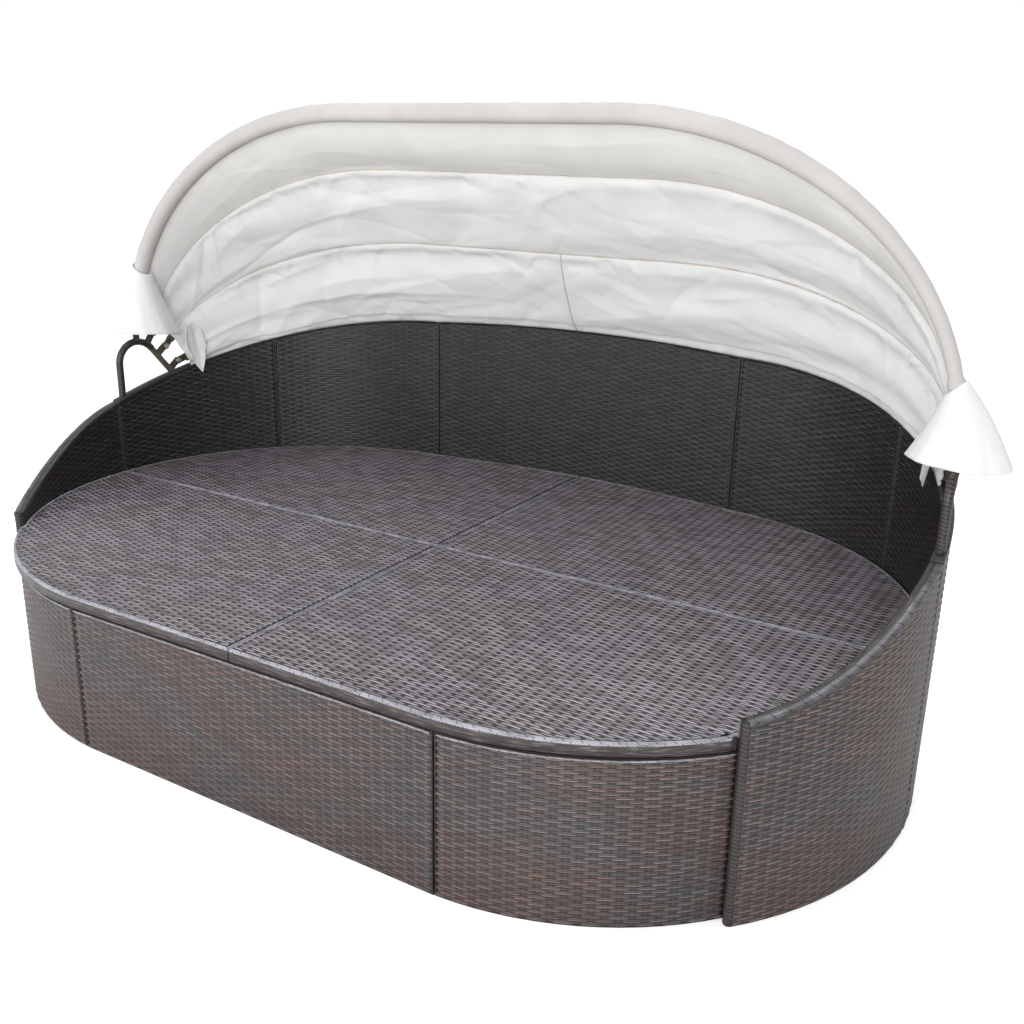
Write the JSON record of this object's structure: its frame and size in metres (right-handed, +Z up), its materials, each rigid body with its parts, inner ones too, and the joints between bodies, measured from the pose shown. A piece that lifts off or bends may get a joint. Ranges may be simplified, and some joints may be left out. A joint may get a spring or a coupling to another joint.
{
  "type": "outdoor daybed with canopy",
  "caption": "Oval woven outdoor daybed with a low front, a back wall that rises to the rear and a folding cloth canopy on arched bows.",
  "frame": {"origin": "on the floor, in the middle of the footprint's box", "axes": "+X to the sitter's left-hand side as seen from the front (picture right), +Y to the back wall, +Z up"},
  "size_m": [2.072, 1.214, 1.1635],
  "materials": {
    "weave": "woven flat strips, satin, dark brown with grey-blue sheen",
    "tube": "powder coated, satin, dark brown",
    "cloth": "plain woven canvas, matt, off-white",
    "steel": "yellow-passivated bolts, satin",
    "foot": "moulded, matt, black"
  },
  "bodies": {
    "base": {"front_centre_panel": "weave", "left_front_corner_panel": "weave", "right_front_corner_panel": "weave", "left_wing": "weave", "right_wing": "weave", "left_side_back_panel": "weave", "right_side_back_panel": "weave", "left_corner_back_panel": "weave", "right_corner_back_panel": "weave", "centre_back_panel": "weave", "left_front_board": "weave", "right_front_board": "weave", "left_back_board": "weave", "right_back_board": "weave", "left_front_board_frame": "tube", "right_front_board_frame": "tube", "left_back_board_frame": "tube", "right_back_board_frame": "tube", "centre_beam": "tube", "front_joist": "tube", "back_joist": "tube", "left_leg": "tube", "middle_leg": "tube", "right_leg": "tube", "left_foot": "foot", "middle_foot": "foot", "right_foot": "foot", "left_wing_seam_plate": "tube", "right_wing_seam_plate": "tube", "left_corner_seam_plate": "tube", "right_corner_seam_plate": "tube", "left_back_seam_plate": "tube", "right_back_seam_plate": "tube", "left_front_seam_plate": "tube", "right_front_seam_plate": "tube", "left_canopy_bracket": "tube", "right_canopy_bracket": "tube", "rear_bow": "tube", "left_front_bow_bolt": "steel", "right_front_bow_bolt": "steel", "left_second_bow_bolt": "steel", "right_second_bow_bolt": "steel", "left_third_bow_bolt": "steel", "right_third_bow_bolt": "steel", "left_rear_bow_bolt": "steel", "right_rear_bow_bolt": "steel"},
    "front_hoop": {"front_bow": "tube", "front_sleeve": "cloth", "canopy_front_panel": "cloth", "left_end_flap": "cloth", "right_end_flap": "cloth"},
    "second_hoop": {"second_bow": "tube", "second_pocket": "cloth", "canopy_middle_panel": "cloth"},
    "third_hoop": {"third_bow": "tube", "third_pocket": "cloth", "canopy_rear_panel": "cloth"}
  },
  "joints": [
    {"name": "front_bow_fold", "type": "hinge", "parent": "base", "child": "front_hoop", "pos_m": [0, 0.05472, 0.65095], "axis": [-1, 0, 0], "range_deg": [0, 65], "deforming": ["canopy_front_panel", "left_end_flap", "right_end_flap"]},
    {"name": "second_bow_fold", "type": "hinge", "parent": "base", "child": "second_hoop", "pos_m": [0, 0.09893, 0.63594], "axis": [-1, 0, 0], "range_deg": [0, 55], "deforming": ["canopy_middle_panel"]},
    {"name": "third_bow_fold", "type": "hinge", "parent": "base", "child": "third_hoop", "pos_m": [0, 0.13043, 0.60038], "axis": [-1, 0, 0], "range_deg": [0, 30.5], "deforming": ["canopy_rear_panel"]}
  ],
  "couplings": [
    {"joint": "second_bow_fold", "follows": "front_bow_fold", "ratio": 0.8385},
    {"joint": "third_bow_fold", "follows": "front_bow_fold", "ratio": 0.4615}
  ]
}
